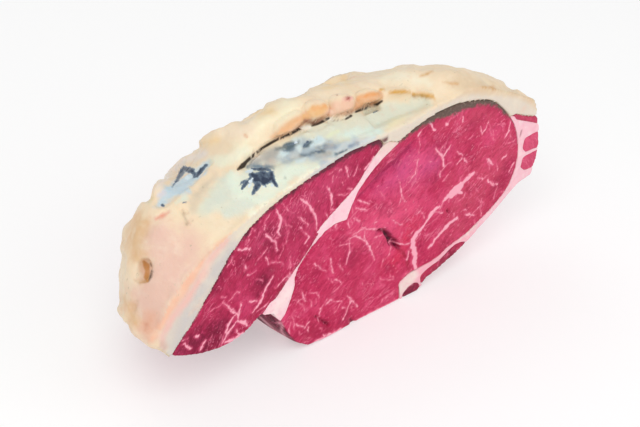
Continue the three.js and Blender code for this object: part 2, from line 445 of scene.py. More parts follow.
def leanMaterial(name):
    look = {**leanLook, **leanTones[name]}
    material, tree, shader = newMaterial(name, look["shader"])
    where = objectSpots(tree)
    fibres = stretched(tree, where, math.radians(look["turn"]), look["stretch"])
    colour = attributeOf(tree, "tint", "Color")
    broad = noiseOf(tree, where, *look["broadNoise"])
    colour = laid(tree, broad, look["broadDark"], colour, look["dark"])
    colour = laid(tree, broad, look["broadPale"], colour, look["pale"])
    fine = noiseOf(tree, fibres, *look["fineNoise"])
    colour = laid(tree, fine, look["finePale"], colour, look["pale"])
    colour = laid(tree, fine, look["fineDark"], colour, look["dark"])
    strands = noiseOf(tree, fibres, *look["strandNoise"])
    ridge = sums(tree, "ABSOLUTE", sums(tree, "SUBTRACT", strands, 0.5), 0)
    webbed = fade(tree, noiseOf(tree, where, *look["webWhere"]), *look["webWhereFade"])
    web = sums(tree, "MULTIPLY", fade(tree, ridge, *look["webFade"]), webbed)
    colour = blendColour(tree, web, colour, look["web"])
    specks = noiseOf(tree, fibres, *look["speckNoise"])
    colour = laid(tree, specks, look["speckFade"], colour, look["speckle"])
    vein = tornBy(tree, noiseOf(tree, where, *look["veinNoise"]), look["veinSize"], "marbling")
    colour = laid(tree, vein, look["rimFade"], colour, look["fatRim"])
    colour = laid(tree, vein, look["fatFade"], colour, look["fat"])
    edgeTone = laid(tree, noiseOf(tree, where, *look["edgePaleNoise"]), look["edgePaleFade"],
                     attributeOf(tree, "edgeDark", "Color"), attributeOf(tree, "edgePale", "Color"))
    edgeDark = tornBy(tree, noiseOf(tree, where, *look["edgeDarkNoise"]), look["edgeDarkSize"], "edging", 0.5)
    colour = laid(tree, edgeDark, look["edgeDarkFade"], colour, edgeTone)
    wetFinish(tree, shader, where, colour, fine, look)
    return material


# The fat cover. Mesh sizes and distances in millimetres.
cover = {
    "firstCell": 1.5, "cell": 1.32,
    "firstRounds": 5, "relaxRounds": 20, "lastRounds": 9,
    "rimMeat": (5, 1.5), "rimCut": (5, 2),     # the sharp rims: how far from the lean and from a cut
    "lipCalm": (8, 22),                        # smoothing fades in beyond the slit under the flap
    "markReach": 3,                            # in pixels, where the mesh is made finer
    "cutReach": 0.9, "cutStand": 0.15,
    "skinMeat": (0.8, 2.6), "skinCut": 5, "dipMeat": (1, 5), "leastThickness": 0.9,
    "gapFill": 0.4, "rimFill": 0.9, "rimDepth": (4, 1),
    "base": "ecd6b6", "sawn": "dccfbf", "seed": 11, "sawnSeed": 13, "leastFacing": 0.02,
}
lumps = [   # unevenness of the skin: size, height, seed
    (22, 1.1, 5), (9, 0.45, 6), (3, 0.18, 7),
]

# Rolls of fat: the two ends of each in the photo, in its pixels, then how far it stands up, its
# half width over and its half height, in millimetres
rolls = [
    ((273, 135), (304, 116), 1.8, 6.5, 5),     # along the edge of the flap
    ((304, 114), (328, 110), 2.2, 6, 5.6),
    ((329, 107), (353, 105), 1.8, 7.5, 6),
    ((356, 101), (382, 97), 1.6, 5.5, 5.2),
    ((384, 93), (410, 91), 0.8, 3, 2.4),       # golden lip
    ((412, 94), (434, 95), 0.8, 3, 2.4),
    ((304, 129), (311, 127), -0.4, 2.4, 2),    # crumbs in the slit
    ((326, 120), (332, 119), -0.5, 1.8, 1.6),
    ((242, 160), (262, 143), -1.5, 7, 4),      # slope beside the recess
    ((204, 145), (226, 134), 0.2, 7, 5.5),     # blunt left end of the flap
]
rollSunk = 0.35   # of its half height

# Soft rises and dips of the skin: height and reach in millimetres, and where they are in the photo
rises = [
    (3, 9, [(206, 141), (218, 134), (232, 127)]),
    (4.5, 9, [(160, 192), (170, 177), (182, 167), (192, 161)]),
    (2, 9, [(127, 232), (131, 219)]),
    (2.6, 12, [(119, 310), (132, 330), (150, 346)]),
    (4.4, 13, [(153, 339), (145, 331)]),
    (3, 11, [(136, 322)]),
    (-2, 9, [(345, 76), (362, 72), (384, 70)]),
    (-1, 10, [(360, 75), (400, 68), (435, 67)]),
    (1.8, 9, [(270, 124), (300, 108), (340, 98), (374, 90)]),
]
# The same along the outline: height in millimetres, then the reach and the way in pixels
outline = [
    (-2.4, 6, [(146, 199), (152, 190)]),
    (2.2, 6, [(158, 181), (164, 174)]),
    (-4, 6, [(182, 157), (190, 152), (196, 147)]),
    (2.4, 5, [(201, 141)]),
    (-3.4, 9, [(243, 117), (250, 112), (259, 107)]),
    (-3.4, 9, [(288, 94), (302, 90)]),
    (-4.6, 9, [(330, 78), (344, 74)]),
    (-1.8, 8, [(360, 71), (376, 69), (390, 66)]),
    (-1.5, 8, [(420, 64), (440, 63), (456, 66)]),
    (-2, 5, [(508, 84), (513, 88)]),
    (-2.4, 9, [(119, 256), (118, 270), (116, 284), (115, 306)]),
    (3.2, 8, [(121, 309), (127, 319)]),
    (2.2, 6, [(138, 340), (150, 350)]),
]
# Dips of the outline at the far edge: drop, reach and way, all in millimetres
dips = [
    (6, 22, [(62, 104, 130), (74, 105, 129), (86, 106, 129), (98, 105, 131)]),
    (2.4, 20, [(104, 100, 133), (122, 96, 138), (142, 92, 140)]),
]
# Hollows of the skin: depth and soft edge in millimetres, and the way each has in the photo, with
# its half width in millimetres
hollows = [
    # the recess, and the slit under the flap
    (3.4, 6, [(250, 163, 3), (272, 155, 4), (300, 144, 5), (330, 132, 5), (362, 120, 5), (392, 108, 4),
     (420, 101, 2)]),
    (5, 2.2, [(240, 167, 0.2), (247, 160, 0.8), (258, 151, 1), (272, 143, 1), (287, 137, 1),
     (303, 127, 1.1), (318, 124, 1.6), (330, 119, 1), (348, 118, 1), (362, 110, 1), (380, 104, 0.8)]),
    # creases between the rolls
    (1, 3, [(303, 117, 0.2), (304, 110, 0.2)]),
    (1, 3, [(328, 114, 0.2), (328, 105, 0.2)]),
    (1, 3, [(354, 110, 0.2), (354, 100, 0.2)]),
    # the blue patch, small cracks and dimples
    (3.0, 5, [(162, 202, 2), (170, 193, 3.5), (182, 183, 4.5), (196, 173, 4), (205, 165, 2)]),
    (1.6, 2.4, [(183, 211, 1), (186, 218, 0.8), (187, 223, 0.6)]),
    (1.2, 2.4, [(136, 303, 0.8), (133, 310, 0.6)]),
    (1.0, 2, [(147, 324, 0.6)]),
    (1.0, 1.6, [(160, 217, 0.5), (167, 212, 0.6)]),
]

# Colours of the skin, in pixels of the photo
coverZones = [
    # the bared membrane
    smudge("d9dac6", 6, 4, [(205, 208, 8), (225, 195, 16), (250, 185, 16), (285, 165, 20), (330, 140, 18),
        (370, 123, 14), (405, 110, 9), (425, 104, 5)]),
    # the flap over it, from cream to tan
    smudge("f2e8c8", 12, 6, [(290, 108, 10), (262, 124, 8), (240, 148, 6)]),
    smudge("f0dcc0", 9, 6, [(222, 133, 7), (246, 130, 7)], [(320, 93, 5), (338, 88, 5)], [(372, 82, 6)]),
    smudge("ecd0a0", 6, 5, [(258, 112, 3), (272, 111, 5)], [(322, 88, 2), (336, 84, 2)], [(345, 80, 3)]),
    smudge("eee5cc", 8, 5, [(386, 77, 4), (404, 76, 5), (430, 84, 3)]),
    smudge("dcc3a2", 9, 5, [(452, 80, 5), (466, 86, 8), (496, 94, 8), (524, 107, 7)]),
    # the left end, rosy, tan at its edge and orange along the cut
    smudge("e2bcaa", 14, 6, [(160, 240, 18), (175, 262, 22), (150, 300, 22), (150, 325, 16)],
        [(190, 240, 12), (172, 290, 12)]),
    smudge("dfb98e", 8, 5, [(140, 222, 8), (132, 240, 9), (136, 256, 6)], [(124, 300, 4), (136, 322, 6)]),
    smudge("e0ab90", 7, 4, [(146, 330, 7), (150, 318, 6)]),
    smudge("e8d4b6", 7, 4, [(200, 225, 4), (222, 228, 8), (240, 224, 6)]),
    smudge("ecb89a", 3.5, 2, [(152, 340, 1.5), (164, 322, 2), (178, 302, 2), (192, 282, 2), (204, 263, 2),
        (219, 244, 1.4), (232, 232, 0.4)]),
    smudge("e0b4a0", 6, 3, [(191, 284, 2), (200, 268, 3), (208, 252, 3)]),
    # paler and darker parts of the membrane, the greys and blues in its recess, and painted shade along the
    # top of the recess under the flap
    smudge("d4d8c8", 7, 4, [(212, 203, 6), (232, 186, 12), (250, 200, 10), (228, 212, 6)]),
    smudge("dde5d3", 4, 3,
        [(234, 178, 7), (240, 192, 7), (262, 196, 7), (282, 182, 7), (290, 171, 5), (318, 167, 3)]),
    smudge("eeead2", 3, 3, [(283, 196, 3), (300, 180, 3), (318, 170, 2)], [(250, 214, 3), (266, 206, 3)]),
    smudge("d9c8ae", 4, 3, [(216, 174, 1), (205, 187, 3), (199, 196, 5), (192, 208, 4)]),
    smudge("e9e5cb", 5, 3, [(212, 162, 4), (232, 158, 7), (246, 150, 4)]),
    # painted shade: grey along the top of the recess, under the flap
    smudge("bfb9ae", 4, 3, [(250, 162, 2), (262, 158, 6), (275, 152, 6), (268, 164, 5)]),
    smudge("a9b8c0", 5, 5, [(284, 156, 6), (302, 151, 10), (325, 150, 10), (345, 150, 7)]),
    smudge("dadbc8", 6, 5, [(312, 132, 4), (332, 128, 7), (362, 124, 9), (392, 112, 9), (420, 104, 4)]),
    smudge("cfd4d2", 3, 2, [(338, 152, 3), (352, 146, 5), (374, 138, 4)]),
    smudge("b8c0c4", 3, 2, [(322, 164, 2), (334, 160, 3), (346, 154, 2)]),
    smudge("d8e6da", 4, 4, [(342, 136, 4), (356, 133, 5), (378, 130, 4)]),
    smudge("c2cccf", 4, 4, [(346, 146, 4), (362, 142, 4)]),
    smudge("dde8e6", 2.5, 3, [(297, 142, 2.5)], [(300, 149, 2.5)], [(283, 153, 3)],
        [(314, 141, 4), (320, 142, 4)], [(305, 157, 2)]),
    smudge("c9dbde", 2.5, 2, [(278, 155, 2), (286, 152, 3)], [(297, 161, 2), (303, 160, 2)],
        [(299, 147, 2.5)], [(295, 142, 2)], [(311, 145, 2.5), (319, 139, 4)], [(333, 154, 1.5)]),
    # grey: the first stroke is painted shade under the flap, the second a patch lower in the recess
    smudge("aaa79f", 4, 3, [(252, 163, 1), (264, 158, 3), (276, 153, 3)],
        [(318, 156, 2), (330, 153, 2.4)]),
    smudge("738490", 2, 2.5, [(300, 156, 1.5), (310, 154, 1.6)], [(318, 147, 1), (325, 145, 1)],
        [(284, 151, 1.2), (293, 149, 1.6)], [(248, 167, 1), (262, 166, 1.6), (274, 168, 1)]),
    smudge("55676f", 2, 2.5, [(277, 149, 1.2), (288, 146, 3), (297, 143, 1.8)],
        [(304, 148, 1.8), (311, 142, 1.4)], [(312, 153, 1.4), (323, 151, 1.8)],
        [(336, 154, 1.4), (347, 152, 1.8)], [(331, 161, 1), (338, 159, 1.2)]),
    smudge("8593a4", 2, 2, [(325, 148, 2), (335, 147, 2)], [(350, 146, 1), (358, 144, 1.4)]),
    smudge("e1e6c2", 2.5, 2, [(328, 136, 1.5), (338, 131, 1.5)]),
    smudge("e5dab2", 5, 3, [(392, 126, 4), (404, 121, 4)]),
    smudge("e6d7bd", 4, 2, [(384, 138, 2), (400, 128, 4), (425, 112, 4)]),
    # the blue patch at the left
    smudge("c3d5dd", 3.5, 4, [(160, 203, 4), (170, 193, 7), (184, 185, 8), (198, 173, 5), (206, 165, 2)]),
    smudge("d5cfd6", 3, 2, [(158, 196, 2.5), (163, 193, 2)]),
    smudge("dbdfcc", 3, 2, [(176, 203, 2), (184, 198, 3)]),
    smudge("e6d9cc", 4, 2, [(156, 190, 2), (168, 173, 4), (186, 160, 4), (204, 154, 4)]),
    smudge("dccea2", 3, 2, [(150, 201, 2), (154, 197, 1.5)]),
    # small cracks and the hole
    smudge("b9a084", 1.6, 1.2, [(182, 210, 0.4), (184, 214, 1.4), (187, 214, 0.4)],
        [(184, 214, 0.3), (186, 220, 0.3), (187, 224, 0.6)], [(193, 221, 0.6)]),
    smudge("d8b088", 2.5, 1.5, [(137, 301, 1), (134, 310, 1)],
        [(133, 279, 1), (140, 282, 1.4), (146, 280, 1)]),
    smudge("eedcc0", 2.5, 1.5, [(137, 266, 2), (138, 276, 2.4)]),
    smudge("c0925c", 1.5, 1, [(134, 280, 0.4), (140, 283, 0.8), (146, 282, 0.6)]),
    # painted shade down the right edge of the hole
    smudge("4f361f", 1.4, 1, [(150.4, 263, 0.6), (151.4, 266, 0.8)],
        [(152, 271, 1), (150.6, 277, 1.4), (148, 281, 0.6)]),
    smudge("d89a7e", 2, 1, [(147, 324, 1)], [(189, 283, 0.6)]),
    # the rolls along the edge of the flap
    smudge("f4d5a6", 5, 3, [(204, 143, 3), (216, 140, 3)]),
    smudge("e6b384", 3, 1.5, [(272, 137, 2), (284, 130, 4.5), (298, 121, 5), (304, 116, 3)]),
    smudge("e6b67e", 2.4, 1.5, [(306, 116, 4), (316, 111, 6), (327, 110, 4)]),
    smudge("e8a868", 2.5, 1, [(314, 108, 2), (325, 106, 2)]),
    smudge("e8bca0", 3, 1.5, [(329, 113, 3.5), (338, 108, 7), (350, 106, 6)]),
    smudge("e0ac80", 2.5, 1.5, [(356, 106, 3.5), (366, 101, 6), (378, 97, 5)]),
    smudge("e6a062", 2.5, 1, [(358, 98, 1.4), (368, 95, 2.2), (378, 93.5, 1.6)]),
    # painted shade on their undersides, and painted shadow along the slit
    smudge("bc8058", 2.6, 1, [(276, 139, 0.4), (292, 131, 1), (303, 123, 1)],
        [(305, 120, 1.6), (314, 122, 2.4), (329, 114.5, 1)],
        [(331, 116.5, 0.4), (345, 114, 1), (353, 110.5, 0.8)],
        [(356, 108.6, 0.6), (366, 105, 1), (378, 101.4, 1.4)]),
    smudge("7a5c40", 1.4, 0.6, [(240, 168, 0.6), (250, 158, 0.5), (262, 148.4, 0.4), (272, 142.4, 0.5),
        (286, 136, 0.5), (296, 131, 0.6), (302, 127.6, 0.5)],
        [(331, 121, 0.2), (345, 119.5, 0.3), (352, 115.6, 0.4)],
        [(355, 112, 0.3), (368, 107.6, 0.4), (382, 101.6, 0.4)]),
    smudge("8d5a42", 1.6, 1, [(305, 121, 1.6), (314, 122.8, 2.3), (323, 120.4, 1.4)],
        [(294, 131, 0.4), (300, 127, 0.6)], [(346, 115.5, 0.5), (351, 113, 0.8)]),
    smudge("5c3a26", 1.1, 0.8, [(311, 124.2, 0.5), (319, 122.8, 0.8), (329, 117.6, 0.6)],
        [(356, 110.8, 0.4), (366, 107, 0.6), (378, 104, 0.6), (381, 101, 0.4)]),
    # the golden lip, the crumbs and other small marks
    smudge("a8763c", 1.2, 0.8, [(411, 96, 0.3), (416, 96, 0.3)], [(424, 96.5, 0.3), (431, 98, 0.5)]),
    smudge("f3ece0", 1.2, 0.6, [(303, 129, 1.2), (310, 127.5, 1)], [(327, 119.6, 0.9), (332, 119, 0.8)]),
    smudge("cf9838", 1.8, 1.2, [(390, 92, 0.8), (400, 92, 1.8), (409, 92, 1.2)],
        [(413, 94, 0.8), (422, 94, 2.4), (432, 96, 1.8), (435, 99.5, 0.8)],
        [(381, 89.5, 0.8), (384, 89, 1)]),
    smudge("d2a066", 2, 1.5, [(420, 76, 0.4), (427, 74, 1), (433, 71, 0.4)],
        [(443, 82, 0.6), (449, 83, 1), (458, 84, 0.8)], [(482, 88, 0.6), (492, 87, 1), (496, 91, 1)]),
    smudge("d9cfbf", 5, 2, [(480, 100, 2), (500, 102, 4), (515, 112, 4), (530, 116, 3)]),
    smudge("f0a8a0", 2, 0.6, [(343, 99.5, 1), (351, 98, 1.6)]),
    smudge("9c3f38", 1, 0.6, [(337, 95, 0.5)], [(345, 99, 0.7), (349, 98, 1.1)]),
    smudge("e67f6c", 2.5, 1.5, [(156, 219, 1), (163, 215, 1.4), (169, 211, 0.6)]),
    smudge("7c8c80", 1.6, 0.8, [(285, 178, 0.8)]),
    smudge("d99a74", 1.8, 0.8, [(245, 135, 0.8), (247, 137, 0.8)]),
]
navyMarks = [
    [(252, 175, 3), (257, 178, 5.4), (264, 178, 7.4), (269, 177, 5.6)],
    [(252, 169, 1.2), (262, 169, 2), (270, 170, 1.6)],
    [(271, 173, 2.8), (273, 180, 2.8), (277, 186, 0.9)],
    [(252, 178, 2.6), (246, 183, 2.2), (242, 188.5, 1.2)],
    [(247, 181, 1.6), (241, 183, 1.1), (239, 186, 0.6)],
    [(258, 184, 3.4), (255.5, 189, 2.8), (252.5, 194.5, 1.2)], [(264, 184, 2.4), (266, 188, 0.8)],
    [(284, 146, 0.2), (293, 144, 0.8)], [(304, 146, 1), (308, 142, 1.2)],
    [(315, 151, 0.4), (319, 151.5, 1), (322, 151, 0.4)], [(338, 153, 0.4), (345, 152, 0.6)],
    [(374, 112, 0.3), (378, 111, 0.4)],
    [(172, 187, 0.4), (177, 180, 1.5), (182, 172, 2.8), (184, 168, 2)],
    [(184, 169, 2.4), (189, 170, 3.4), (192, 171, 2.8), (195, 175, 1.4)],
    [(193, 178, 0.6), (197, 176, 1.4), (201, 171, 1.8), (206, 165, 1.6)], [(197, 165, 0.7)],
    [(162, 205, 1.2), (164, 206, 0.4)], [(182, 203, 0.5), (187, 202, 0.4)],
]
palePatches = [
    [(246, 172, 1.4), (252, 170.5, 1)], [(253, 178, 0.6), (250, 181, 1.6)],
    [(250, 185, 1), (248.5, 189, 0.8)], [(264, 187, 1.6)], [(272, 185.5, 1.2)], [(187, 178, 2)],
    [(187, 173, 0.8)], [(296, 142, 1.4)],
]
# Painted shadow along the slit under the flap: its way in pixels, with half widths
slitShadowMarks = [
    [(238, 169.5, 0.4), (243, 165.5, 1.9), (246, 162, 0.9), (254, 154.8, 0.6), (263, 147.6, 0.5),
    (270, 143.5, 0.7), (278, 139, 0.5), (286, 136, 0.5)],
    [(286, 136, 0.5), (292, 133, 0.7), (300, 128.6, 0.6)],
    [(312, 125.8, 0.1), (318, 124, 0.3), (323, 121.4, 0.6), (329, 118, 0.3)],
    [(346, 119, 0.1), (351, 115.8, 0.5)],
    [(356, 111.8, 0.3), (361, 110, 0.4), (369, 107.2, 0.3), (377, 104.6, 0.5), (382, 101, 0.2)],
]
goldMarks = [   # inside the hole
    [(144, 262, 1.4), (146.5, 266, 3), (147.5, 271, 2), (146.5, 277, 2.4), (147.5, 281, 1)],
]
slitWay = [   # along the slit under the flap, which is smoothed less
    (240, 167, 0), (258, 151, 0), (287, 137, 0), (318, 124, 0), (348, 118, 0), (380, 104, 0),
    (410, 96, 0), (434, 100, 0),
]
# Colours of the sawn fat at the cuts: across and up in millimetres
sawnZones = [
    smudge("cbc4bf", 8, 0, [(-106, 52, 8), (-97, 72, 8), (-80, 92, 8), (-58, 106, 6)]),
    smudge("e4d9c2", 5, 2, [(-56, 113, 3), (-38, 119, 5), (-12, 127, 3)]),
    smudge("c9cdcc", 3, 1, [(2, 132, 1), (18, 135, 3), (40, 138, 3), (52, 139, 2)]),
    smudge("6b3f42", 1.2, 0.6, [(57, 133.6, 1.8), (65, 134.8, 1.6)]),
    smudge("dcc1a0", 2.5, 1, [(95, 142, 1), (130, 145, 2.4), (150, 142, 3), (170, 135, 4), (190, 128, 5),
        (205, 119, 5), (214, 108, 3)]),
    smudge("eebb9e", 3, 1.4, [(-128, 58, 5), (-122, 70, 4.6), (-110.3, 82.4, 4), (-94.2, 97, 4),
        (-79.8, 112, 3.4), (-71.7, 116, 2)]),
    smudge("e9bcb0", 3, 1.4, [(-118, 60, 1.6), (-117.3, 66.2, 2.2), (-110.8, 74.2, 2.6),
        (-104.6, 78.7, 2.8), (-97.9, 83, 2.8), (-87.6, 93, 2.8), (-79.4, 104, 2.8), (-73.2, 108.5, 2.6),
        (-65.7, 112.6, 1.8)]),
    smudge("d3b3a4", 2.4, 1, [(-116, 56, 2), (-119, 62, 1)]),
]


def overSurface(way, tree):  # steps of pixel and half width, carried to the surface they show
    return [(*(underPixel(step[:2], tree) - corner) / mm, step[2]) for step in way]


def refine(piece, chosen):  # finer faces where small marks lie
    bm = bmesh.new()
    bm.from_mesh(piece.data)
    bm.verts.ensure_lookup_table()
    edges = {edge for index in np.flatnonzero(chosen) for edge in bm.verts[index].link_edges}
    edges = sorted(edges, key=lambda edge: edge.index)
    bmesh.ops.subdivide_edges(bm, edges=edges, cuts=1, use_grid_fill=True)
    bmesh.ops.triangulate(bm, faces=[face for face in bm.faces if len(face.verts) > 4])
    bm.to_mesh(piece.data)
    bm.free()
    piece.data.update()


def addRolls(piece, tree):
    bm = bmesh.new()
    bm.from_mesh(piece.data)
    for start, end, lift, halfOver, halfHigh in rolls:
        first, last = underPixel(start, tree), underPixel(end, tree)
        along = (last - first).normalized()
        over = Vector((0, 0, 1)).cross(along).normalized()
        high = along.cross(over)
        turned = Matrix((along, over, high)).transposed().to_4x4()
        half = (last - first).length / 2 / mm
        size = Matrix.Diagonal([half * mm, halfOver * mm, halfHigh * mm, 1])
        middle = (first + last) / 2 + high * (lift - halfHigh * rollSunk) * mm
        bmesh.ops.create_icosphere(bm, subdivisions=4, radius=1,
                                   matrix=Matrix.Translation(middle) @ turned @ size)
    bm.to_mesh(piece.data)
    bm.free()


def keepFrom(piece, name, weights):  # the share of smoothing that each point gets
    group = piece.vertex_groups.new(name=name)
    for index, weight in enumerate(weights):
        group.add([index], float(weight), "REPLACE")


def awayFromRim(points, meat):  # 0 along the sharp edges where the cuts meet the lean, 1 elsewhere
    fromCut = np.minimum(points[:, 1], depth - points[:, 1])
    return 1 - near(distanceTo(points, *meat), *cover["rimMeat"]) * near(fromCut, *cover["rimCut"])


def smoothCover(meat):  # the solid with its rolls, as an even smooth skin
    piece = mergedCopy("fat_cover", "fatCover")
    evenSkin(piece, cover["firstCell"])
    settle(piece)
    points = readPoints(piece.data)
    tree = surfaceOf(piece)
    free = awayFromRim(points, meat)
    lip = strokeField(points, [overSurface(slitWay, tree)])
    keepFrom(piece, "rim", free)
    keepFrom(piece, "calm", free * ease(lip, *cover["lipCalm"]))
    relax(piece, cover["firstRounds"], group="rim")
    relax(piece, cover["relaxRounds"], group="calm")
    settle(piece)
    addRolls(piece, surfaceOf(piece))
    evenSkin(piece, cover["cell"])
    settle(piece)
    keepFrom(piece, "rim", awayFromRim(readPoints(piece.data), meat))
    relax(piece, cover["lastRounds"], True, "rim")
    settle(piece)
    shown = pixelsOf(readPoints(piece.data))
    small = strokeField(shown, navyMarks + slitShadowMarks + palePatches + goldMarks) < cover["markReach"]
    refine(piece, small & facingCamera(piece.data))
    return piece


def skinMoves(piece, points):  # how far the lumps, rises and hollows move each point outwards
    move = sum(grain(points, size, seed) * height for size, height, seed in lumps)
    tree = surfaceOf(piece)
    for height, reach, pixels in rises:
        way = overSurface([(*pixel, 0) for pixel in pixels], tree)
        move += height * near(strokeField(points, [way]), reach)
    shown = pixelsOf(points)
    for height, reach, pixels in outline:
        move += height * near(strokeField(shown, [[(*pixel, 0) for pixel in pixels]]), reach)
    for deep, soft, way in hollows:
        move -= deep * near(strokeField(points, [overSurface(way, tree)]), soft)
    return move


def makeCover():
    meat = surfaceOf(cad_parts["cap_muscle"]), surfaceOf(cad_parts["main_muscle"])
    piece = smoothCover(meat)
    mesh = piece.data
    points, normals = readPoints(mesh), readNormals(mesh)
    fromMeat = distanceTo(points, *meat)
    cut = onCut(points, cover["cutReach"])
    skin = ease(fromMeat, *cover["skinMeat"]) * (cut == 0)
    skin *= ease(points[:, 1], 0, cover["skinCut"]) * ease(depth - points[:, 1], 0, cover["skinCut"])
    move = skinMoves(piece, points)
    for drop, reach, way in dips:
        beside = near(strokeField(points, [[(*spot, 0) for spot in way]]), reach)
        points[:, 2] -= drop * beside * ease(fromMeat, *cover["dipMeat"])
    move = np.maximum(move, cover["leastThickness"] - fromMeat)
    filled = cover["gapFill"] + cover["rimFill"] * near(points[:, 1], *cover["rimDepth"])
    grown = points + normals * (move * skin + filled * (cut == 0))[:, None]
    grown[:, 1] = np.clip(grown[:, 1], 0, depth)
    grown[cut > 0, 1] = -cover["cutStand"]
    grown[cut < 0, 1] = depth + cover["cutStand"]
    grown[:, 1] += cutRelief(points) * nearCut(points)
    grown[:, 2] = np.maximum(grown[:, 2], 0)
    writePoints(mesh, grown)
    shown = pixelsOf(grown)
    facing = facingCamera(mesh, cover["leastFacing"])
    colours = paint(shown, cover["base"], coverZones, cover["seed"], facing, grown)
    sawn = paint(points[:, (0, 2)], cover["sawn"], sawnZones, cover["sawnSeed"], 1, points)
    colours[cut != 0] = sawn[cut != 0]
    storeTint(mesh, colours)
    # the navy, pale and gold marks are the fat's own colours; the slit's is painted shadow
    for name, marks in (("navy", navyMarks), ("pale", palePatches), ("slitShadow", slitShadowMarks), ("gold", goldMarks)):
        store(mesh, name, np.where(facing & (cut == 0), strokeField(shown, marks), farAway))
    finishPiece(piece, fatMaterial(), "fat_cover")


# The lean. Marbling that the cut shows: width, then across and up along each vein.
veins = [
    (2, (-57, 102), (-49, 99)), (2, (-36, 104), (-28, 95), (-27, 88)),
    (2.3, (-27, 118), (-23, 110), (-26, 102), (-24, 98)),
    (1.8, (-8, 119), (-2, 113), (3, 105), (6, 97), (6, 90)), (1.1, (-9, 106), (-1, 96)),
    (1.4, (-5, 93), (0, 87), (-4, 84)), (1.8, (15, 119), (19, 110), (18, 98)),
    (1.6, (31, 127), (33, 119)), (1, (41, 124), (38, 118)), (1.8, (55, 125), (47, 119)),
    (1, (33, 110), (37, 108)), (1.2, (-36, 87), (-34, 82)), (2.2, (-53, 88), (-52, 86)),
    (1.8, (-70, 68), (-65, 61), (-60, 54), (-60, 51)), (1.3, (-57, 62), (-59, 55)),
    (2.6, (-60, 51), (-67.9, 44), (-72.8, 38)), (3.2, (-60, 50), (-55.6, 47), (-53, 43)),
    (2.4, (-61.7, 54.8), (-67.5, 49.8), (-70.1, 44.8)), (2, (-61.4, 42.9), (-58.6, 36), (-55, 31)),
    (2.3, (-31, 70), (-37, 64), (-42, 56), (-49, 51)), (1.4, (-50, 60), (-45, 58)),
    (1.1, (-29, 61), (-17, 66)), (2, (-86, 46), (-90, 42)), (2.4, (-92, 53), (-91, 52)),
    (1.8, (-102, 52), (-97, 46)), (1.2, (43, 97), (51, 91)), (1.2, (40, 92), (50, 87)),
    (1.1, (33, 87), (34, 80)), (1.5, (32, 71), (40, 71), (48, 64), (53, 56), (58, 44)),
    (1.3, (37, 73), (48, 74)), (1.1, (34, 72), (34, 60), (31, 52)), (1.2, (48, 72), (48, 65)),
    (1.4, (18, 62), (20, 50)), (1, (4, 64), (14, 54)), (1, (-7, 48), (-4, 38)), (1.1, (21, 45), (27, 40)),
    (1.2, (13, 28), (17, 30), (28, 23)), (1.4, (-12, 24), (-5, 18), (-1, 21)), (1, (-2, 17), (-2, 13)),
    (1.4, (33, 26), (38, 19), (43, 12)), (1.2, (36, 20), (29, 8)), (1.4, (11, 4), (19, 1)),
    (1.4, (79, 97), (81, 85), (79, 80)), (1, (81, 85), (84, 80)), (1.1, (96, 108), (93, 98), (87, 94)),
    (1.7, (112, 110), (119, 101)), (1.7, (126, 108), (119, 101)), (1.7, (119, 101), (120, 94)),
    (1.8, (105, 133), (110, 125)), (1.4, (98, 129), (95, 126)), (2, (121, 126), (122, 125)),
    (1.2, (136, 126), (137, 122)), (1.7, (117, 91), (117, 86)), (1.2, (133, 100), (139, 95)),
    (1.2, (133, 90), (138, 93)), (1.2, (140, 92), (144, 87)), (1.6, (155, 112), (157, 105), (163, 112)),
    (1.2, (113, 60), (121, 56)), (2.6, (109, 31), (111.5, 33), (116.2, 36.9), (120, 39.5)),
    (4.6, (120, 39.5), (125.7, 42), (130.5, 44.6)), (3, (128, 44), (136.5, 45)),
    (1.7, (146, 44), (154, 40)), (1.4, (156, 71), (160, 68)), (1.7, (165, 65), (172, 58)),
    (1.4, (168, 62), (176, 58)), (1.7, (165, 82), (170, 76)), (1.3, (178, 77), (183, 79)),
    (1.8, (185, 105), (184, 98), (180, 93)), (1.2, (187, 64), (192, 69)),
    (5, (97.6, 19), (95.4, 25.8), (96.6, 31.1), (93.8, 39), (93.6, 44.8), (97.2, 49.1), (103.7, 52.9)),
    (3.4, (103.7, 52.9), (109.2, 58.8), (112.9, 61.7), (117.6, 62.6)),
    (3.6, (121, 65.4), (126, 67.4), (130, 69)), (9.5, (130.5, 68), (137.5, 70)),
    (4.6, (138, 71.2), (145, 74), (151.2, 76.6)), (3, (134, 68), (138, 65.4), (140.4, 64)),
    (1.2, (45, 75), (55, 70), (65, 66)), (1.1, (122, 66), (118, 60)), (1.6, (74, 50), (87, 44), (96, 42)),
    (1.2, (88, 31), (90, 37)), (4, (3, 1), (27, 0.5)), (3, (42, 0.3), (80, 0.3)),
    (2.2, (-96, 38), (-84, 35)), (2.2, (-72, 34.5), (-52, 37.5)),
    (3.2, (-70, 38), (-63, 37), (-56, 38.5)),
]
fineVeins = {"count": 170, "steps": 4, "stride": (1.6, 4.5), "width": (0.2, 0.6), "seed": 12,
             "across": (-110, 200), "up": (4, 134), "heading": (-0.9, 0.5), "crossing": 0.45,
             "bend": 0.7, "thinning": (0.4, 1)}
veinShape = {"bendSize": 3.4, "bendReach": 0.9, "bendSeeds": (21, 22), "full": 0.8, "tip": 0.45}
farShift = (9, -3)   # the far cut shows every second vein, moved by this much
